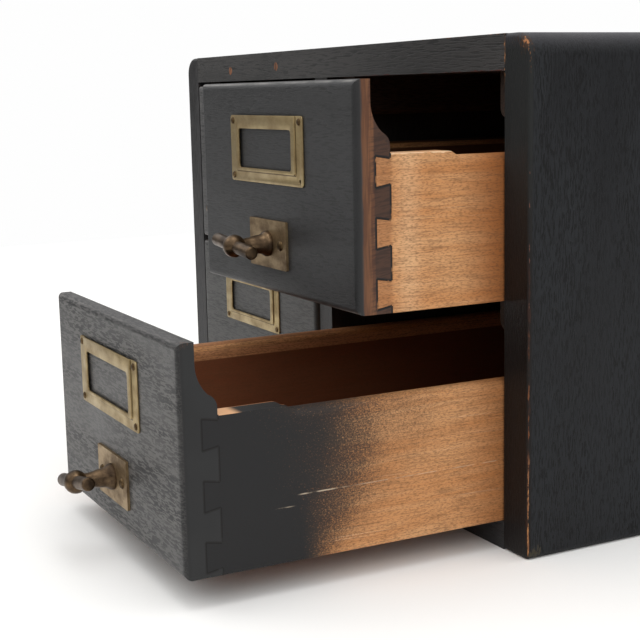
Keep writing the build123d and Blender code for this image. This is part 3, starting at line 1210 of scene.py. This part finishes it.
@dataclass(frozen=True)
class TurnedPull:
    """T pull: a flared stem, a ball and a crossbar through it, standing on its brass plate.

    Args:
        key: Name of the drawer.
        turn: Turn of the crossbar about the stem, in degrees.
        reach: Distance of the ball's centre from the front.
        base_radius: Radius of the stem's foot.
        base_height: Height of the foot's collar.
        waist_radius: Radius of the stem at its waist.
        waist_reach: Distance of the waist from the front.
        neck_radius: Radius of the stem under the ball.
        ball_radius: Radius of the ball.
        bar_length: Length of the crossbar.
        bar_radius: Radius of the crossbar.
        plate_thick: Thickness of the plate that the stem stands on.
        shank_radius: Radius of the threaded shank through the front.
        shank_reach: How far the shank goes behind the front's face.
    """

    key: str
    turn: float
    reach: float = 18.2 * MM
    base_radius: float = 6.0 * MM
    base_height: float = 2.2 * MM
    waist_radius: float = 4.1 * MM
    waist_reach: float = 8.0 * MM
    neck_radius: float = 3.2 * MM
    ball_radius: float = 5.3 * MM
    bar_length: float = 40.0 * MM
    bar_radius: float = 3.0 * MM
    plate_thick: float = 1.2 * MM
    shank_radius: float = 1.9 * MM
    shank_reach: float = 21.0 * MM

    def stem_profile(self) -> list[tuple[float, float]]:
        """Give the profile of the stem.

        Returns:
            Distance from the front and radius at each step.
        """
        collar = self.plate_thick + self.base_height
        neck = self.reach - self.ball_radius
        return [
            (self.plate_thick, self.base_radius),
            (self.plate_thick + self.base_height * 0.55, self.base_radius),
            (collar, self.base_radius - 0.5 * MM),
            (collar + 0.6 * MM, self.base_radius - 1.0 * MM),
            (collar + 1.6 * MM, self.waist_radius + 0.4 * MM),
            (self.waist_reach, self.waist_radius),
            ((self.waist_reach + neck) / 2, (self.waist_radius + self.neck_radius) / 2 - 0.15 * MM),
            (neck, self.neck_radius),
            (self.reach, self.neck_radius),
        ]

    def build(self, finish: bpy.types.Material) -> bpy.types.Object:
        """Model the pull over its node.

        Args:
            finish: Material of the pull.

        Returns:
            The pull's object.
        """
        low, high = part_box(f"{self.key}_pull_plate")
        foot = Vector(((low.x + high.x) / 2, high.y, (low.z + high.z) / 2))
        stem = turned(foot, self.stem_profile())
        rod = self.shank_radius
        shank = turned(foot, [(self.plate_thick + 1 * MM, rod), (-self.shank_reach, rod)], 24)
        middle = foot - Vector((0, self.reach, 0))
        size = self.ball_radius
        bpy.ops.mesh.primitive_uv_sphere_add(segments=48, ring_count=24, radius=size, location=middle)
        ball = bpy.context.active_object
        bpy.ops.mesh.primitive_cylinder_add(
            vertices=40,
            radius=self.bar_radius,
            depth=self.bar_length,
            location=middle,
            rotation=(0, math.radians(90 + self.turn), 0),
        )
        bar = bpy.context.active_object
        soften(0.9 * MM, 4)
        pick(stem, shank, ball, bar)
        bpy.ops.object.join()
        return finish_piece(f"{self.key}_t_pull", finish, 50.0)


@dataclass(frozen=True)
class Drawer:
    """One drawer: its finishes and its brass and bronze fittings.

    Args:
        key: Name of the drawer, as its nodes start.
        turn: Turn of the pull's crossbar, in degrees.
        shift: Offset of the wood's figure.
        stain: Colour of the front.
        flush: Colour of the front where the stain is thin.
        rub_and_highlight: How light the front's rounded edge is made by rubbing and a painted highlight.
        inside: Colour of the box's inner faces.
        sprayed: Whether the right side carries the black overspray.
        empty_pins: Which of the holder's pins are missing.
    """

    key: str
    turn: float
    shift: float
    stain: str
    flush: str
    rub_and_highlight: float = 0.6
    inside: str = "#6e3a24"
    sprayed: bool = False
    empty_pins: tuple[int, ...] = ()

    def front(self) -> StainedOak:
        """Give the finish of the drawer front.

        Returns:
            The finish.
        """
        low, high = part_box(f"{self.key}_front")
        face, ends = low.y, (low.x, high.x)
        marks: list[Mark] = [RubbedHighlitRound(low, high, self.rub_and_highlight)]
        if self.sprayed:
            marks.append(Zone({Grain.ACROSS: (high.x - 0.5 * MM, FAR, 0.2 * MM)}, "#191a1b"))
            knock = (high.x - 1 * MM, face + 3 * MM, high.z)
            marks.append(Worn(knock, 4.5 * MM, (-FAR, face + 7 * MM), 0.36, 3.0, "#4e3628"))
        else:
            # The back is bare. At the ends the stain stops near the face, where saw streaks show, and the
            # wood behind them is darker, with rings.
            marks.append(Zone({Grain.DEEP: (face + 15.6 * MM, FAR, 0.2 * MM)}, "#5a3419"))
            marks.append(BareEnd(face + 2.8 * MM, ends, "#583520"))
            streaks = (Grain.UPRIGHT, (22.0, 1.3), 0.0, 0.55)
            marks.append(EndGrain(face + 3.5 * MM, self.shift, "#7f5535", *streaks))
            marks.append(BareEnd(face + 8.4 * MM, ends, "#432a1c", 0.5 * MM))
            marks.append(EndGrain(face + 7.0 * MM, self.shift))
        # Painted shade: the rounded right end of the face is darkened, where it turns away from the lamps.
        shaded_arris = (high.x - 3.0 * MM, FAR, 2.9 * MM)
        shallow = (-FAR, face + 2.4 * MM, 0.4 * MM)
        marks.append(Zone({Grain.ACROSS: shaded_arris, Grain.DEEP: shallow}, "#141415", 0.75))
        marks.append(DovetailLines(face, low.z))
        # The sprayed drawer's pores are shorter, wider and darker.
        length, width, tone, level = (4.5, 0.75, 0.95, 0.44) if self.sprayed else (7.0, 0.6, 0.7, 0.47)
        return StainedOak(
            f"black stained oak front {self.key}",
            Grain.ACROSS,
            self.stain,
            self.flush,
            roughness=0.46,
            shift=self.shift,
            pore="#161617" if self.sprayed else "#121212",
            pore_length=length,
            pore_width=width,
            pore_depth=0.08,
            pore_tone=tone,
            pore_level=level,
            ends=ends,
            marks=tuple(marks),
        )

    @staticmethod
    def spray(front: float, low: Vector, high: Vector) -> list[Mark]:
        """Give the black overspray on the right side, the place that it spared and the scratches on it.

        Args:
            front: Depth of the drawer's front face, in metres.
            low: Lower corner of the side.
            high: Upper corner of the side.

        Returns:
            The marks, the lowest layer first.
        """
        ogee, top = (front + 10 * MM, front + 25 * MM, 2.5 * MM), (high.z - 0.2 * MM, FAR, 0.1 * MM)
        marks: list[Mark] = [Overspray(front, low.z, low.x)]
        marks.append(Zone({Grain.DEEP: ogee, Grain.UPRIGHT: top}, "#dba97e"))
        # Level scratches: height, start, end and width in millimetres, and strength.
        rows = ((28.0, 52.0, 69.0, 0.5, 0.75), (28.0, 69.0, 150.0, 0.4, 0.4), (23.5, 40.0, 48.0, 0.4, 0.45))
        for height, start, end, width, strength in rows:
            spans = {
                Grain.UPRIGHT: (low.z + height * MM, low.z + (height + width) * MM, 0.15 * MM),
                Grain.DEEP: (front + start * MM, front + end * MM, 2 * MM),
                Grain.ACROSS: (low.x + 1 * MM, FAR, 0.3 * MM),
            }
            marks.append(Zone(spans, "#d2bfa6", strength, 9.0))
        return marks

    def near_side(self, low: Vector, high: Vector) -> tuple[list[Mark], list[Mark]]:
        """Give what is on the right side of the box, which the opened drawers show.

        Args:
            low: Lower corner of the side.
            high: Upper corner of the side.

        Returns:
            Tones of the wood with painted shade towards the case, and marks on it.
        """
        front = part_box(f"{self.key}_front")[0].y
        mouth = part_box("case_side_right")[0].y
        tones: list[Mark] = []
        marks: list[Mark] = [
            Worn((high.x, front, high.z), 1.4 * MM, (front, FAR), 0.32, 6.0, "#e6c29b", Grain.DEEP)
        ]
        if not self.sprayed:
            light = {Grain.DEEP: (front + 20 * MM, front + 29 * MM, 5 * MM)}
            tails = {Grain.DEEP: (front, front + 16.5 * MM, 1.5 * MM)}
            tones += [Zone(light, "#e4bd93", 0.35), Zone(tails, "#9c673f", 0.6)]
        # Painted shade: a drawer that stands out of the case darkens towards the case's mouth, where the case
        # shades it.
        if front < mouth - 10 * MM:
            shaded = {Grain.DEEP: (mouth - 14 * MM, FAR, 14 * MM)}
            tones.append(Zone(shaded, "#98592b", 0.55 if self.sprayed else 0.85))
        if self.sprayed:
            marks += self.spray(front, low, high)
        return tones, marks

    def far_side(self, low: Vector, high: Vector, skim: float) -> list[Mark]:
        """Give the tones of the left side of the box: its top edge, dark as painted shade except on the
        sprayed drawer, and on the sprayed drawer a lighter band under the rim, which is painted light.

        Args:
            low: Lower corner of the side.
            high: Upper corner of the side.
            skim: How deep a tone of the inner face goes into the board, in metres.

        Returns:
            Tones of the wood, with painted shade and painted light.
        """
        rim, band = (high.z - 3 * MM, FAR, 0.2 * MM), (high.z - 10 * MM, FAR, 0.2 * MM)
        behind, inner = (low.x + 0.5 * MM, FAR, 0.2 * MM), (high.x - skim, FAR, 0.15 * MM)
        # Painted shade: the rim is dark brown where the far side lies in the case's shade, and tan on the
        # sprayed drawer.
        colour = "#a06c45" if self.sprayed else "#3f2818"
        tones: list[Mark] = [Zone({Grain.UPRIGHT: rim, Grain.ACROSS: behind}, colour, 0.9)]
        if self.sprayed:
            # Painted light: the lighter band under the rim stands for light falling over the near side onto
            # the upper inner face.
            tones.append(Zone({Grain.UPRIGHT: band, Grain.ACROSS: inner}, "#c88f62"))
        return tones

    def side(self, hand: Hand) -> AgedMaple:
        """Give the finish of one side of the box.

        Args:
            hand: Which side.

        Returns:
            The finish.
        """
        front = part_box(f"{self.key}_front")[0]
        low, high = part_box(f"{self.key}_side_{hand.name.lower()}")
        skim = 0.3 * MM
        if hand is Hand.RIGHT:
            inner = (-FAR, low.x + skim, 0.15 * MM)
            tones, marks = self.near_side(low, high)
        else:
            inner = (high.x - skim, FAR, 0.15 * MM)
            tones, marks = self.far_side(low, high, skim), []
        return AgedMaple(
            f"aged maple {hand.name.lower()} {self.key}",
            Grain.DEEP,
            shift=self.shift + 2,
            tones=(Zone({Grain.ACROSS: inner}, self.inside, 0.9), *tones),
            marks=(*marks, DovetailLines(front.y, front.z)),
        )

    def dress(self, nodes: dict[str, bpy.types.Object], metals: dict[str, bpy.types.Material]) -> None:
        """Give the drawer's wooden pieces and plain fittings their finishes.

        Args:
            nodes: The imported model's objects by node name.
            metals: Shared metals by the node's name without the drawer's.
        """
        back, bottom = f"aged maple back {self.key}", f"aged maple bottom {self.key}"
        woods = {
            "front": self.front(),
            "side_left": self.side(Hand.LEFT),
            "side_right": self.side(Hand.RIGHT),
            "back": AgedMaple(back, Grain.ACROSS, "#b8794a", "#a0663b", self.shift + 5),
            "bottom": AgedMaple(bottom, Grain.ACROSS, "#a4683f", "#8c5632", self.shift + 7),
        }
        for piece, material in ({name: wood.build() for name, wood in woods.items()} | metals).items():
            dress_node(nodes[f"{self.key}_{piece}"], material)

    def fit(self, metals: dict[str, bpy.types.Material]) -> None:
        """Model the fittings and let them ride with the drawer.

        Args:
            metals: Shared metals by the node's name without the drawer's.
        """
        holder, fasteners = LabelFrame(self.key, self.empty_pins), Fasteners(self.key)
        places = [at for index, at in enumerate(holder.pin_places()) if index not in self.empty_pins]
        made = {
            "label_frame": (holder.build(), "sheet_brass"),
            "label_pins": (fasteners.pins(places, metals["label_pins"]), "sheet_brass"),
            "plate_screws": (fasteners.screws(metals["plate_screws"]), "sheet_brass"),
            "pull": (TurnedPull(self.key, self.turn).build(metals["pull"]), "turned_bronze"),
        }
        for node, (piece, slot) in made.items():
            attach(piece, f"{self.key}_drawer")
            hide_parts(f"{self.key}_{node}")
            LOG.info("made %s for %s_%s", piece.name, self.key, node)


@dataclass(frozen=True)
class Studio:
    """White paper on a table, bright ceiling, dim far walls, and the camera at the photograph's place.

    Args:
        eye: The camera's place, in metres.
        yaw: Turn of the view to the left of +Y, in degrees.
        pitch: Tilt of the view below the horizon, in degrees.
        roll: Turn of the picture, in degrees.
        lens: Focal length for a 36 mm wide picture, in millimetres.
        ceiling: Brightness overhead.
        walls: Brightness of the far walls.
    """

    eye: tuple[float, float, float] = (0.6497, -0.5346, 0.2058)
    yaw: float = 62.945
    pitch: float = -9.729
    roll: float = -1.249
    lens: float = 75.32
    ceiling: float = 1.15
    walls: float = 0.2

    def camera(self) -> None:
        """Make the camera."""
        yaw, pitch, roll = (math.radians(angle) for angle in (self.yaw, self.pitch, self.roll))
        forward = Vector((-math.sin(yaw) * math.cos(pitch), math.cos(yaw) * math.cos(pitch), math.sin(pitch)))
        right = Vector((math.cos(yaw), math.sin(yaw), 0))
        up = right.cross(forward)
        tilted = math.cos(roll) * right + math.sin(roll) * up
        top = -math.sin(roll) * right + math.cos(roll) * up
        frame = Matrix((tilted, top, -forward)).transposed()
        bpy.ops.object.camera_add(location=self.eye, rotation=frame.to_euler())
        camera = bpy.context.active_object
        camera.name = "camera"
        camera.data.lens = self.lens
        camera.data.sensor_width = 36
        camera.data.clip_start = 0.01
        bpy.context.scene.camera = camera

    def lamp(self, name: str, place: tuple[float, float, float], size: float, power: float) -> None:
        """Make one soft square light that looks at the cabinet.

        Args:
            name: Name of the light.
            place: Its place, in metres.
            size: Width of the light, in metres.
            power: Power, in watts.
        """
        aim = (Vector((0, -0.1, 0.1)) - Vector(place)).to_track_quat("-Z", "Y")
        bpy.ops.object.light_add(type="AREA", location=place, rotation=aim.to_euler())
        lamp = bpy.context.active_object
        lamp.name = name
        lamp.data.size = size
        lamp.data.energy = power

    def room(self) -> None:
        """Make the room: dim walls at the horizon, a bright ceiling, and plain white behind the picture."""
        skin = Skin(bpy.data.worlds.new("white studio"))
        way = skin.add("ShaderNodeTexCoord", {}, "Generated")
        height = skin.add("ShaderNodeSeparateXYZ", {"Vector": way}, "Z")
        # The walls give way to the ceiling between 3 and 33 degrees above the horizon.
        rise = {"From Min": 0.05, "From Max": 0.55, "Value": height} | SOFT
        glow = skin.add(RANGE, rise | {"To Min": self.walls, "To Max": self.ceiling})
        light = {"Color": linear("#ffffff"), "Strength": glow}
        around = skin.add("ShaderNodeBackground", light)
        white = skin.add("ShaderNodeBackground", {"Color": linear("#fefefe"), "Strength": 1.0})
        seen = skin.add("ShaderNodeLightPath", {}, "Is Camera Ray")
        both = skin.add("ShaderNodeMixShader", {0: seen, 1: around, 2: white})
        skin.add("ShaderNodeOutputWorld", {"Surface": both})
        bpy.context.scene.world = skin.owner

    def build(self) -> None:
        """Make the paper, the room, the lights and the camera."""
        pick()
        bpy.ops.mesh.primitive_plane_add(size=1, location=(0.4, 0.3, 0))
        bpy.context.active_object.scale = (3.2, 2.6, 1)
        floor = finish_piece("floor", matt_paper())
        self.room()
        self.lamp("key light", (-1.3, -1.9, 1.9), 1.2, 8)
        self.lamp("fill light", (2.2, -0.6, 1.4), 1.4, 8)
        self.lamp("overhead light", (0.35, -0.45, 2.2), 1.2, 10.5)
        self.camera()
        bpy.context.scene.view_settings.view_transform = "Standard"


def main() -> None:
    """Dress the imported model, add the fittings and set the studio."""
    logging.basicConfig(level=logging.INFO, format="%(message)s")
    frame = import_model()
    metals = aged_metals()
    Case().dress(frame["nodes"])
    # Painted shade: the upper drawers' inner faces get this darker brown, as their insides lie in shade.
    dark = "#3d2116"
    drawers = (
        # The upper left front's edge is lightest: its strength stands partly for a painted highlight on its
        # lit edge.
        Drawer("upper_left", 0.0, 1.0, "#414040", "#504f4f", 0.9, dark),
        Drawer("upper_right", 4.5, 5.0, "#262627", "#303031", 0.75, dark, empty_pins=(2,)),
        Drawer("lower_left", 2.0, 9.0, "#363534", "#474645"),
        # The lower right front's light flush is partly painted reflection of the bright room on its face.
        Drawer("lower_right", -11.0, 15.0, "#454342", "#5a5856", 0.3, sprayed=True),
    )
    for drawer in drawers:
        drawer.dress(frame["nodes"], metals)
        drawer.fit(metals)
    Studio().build()


if __name__ == "__main__":
    main()
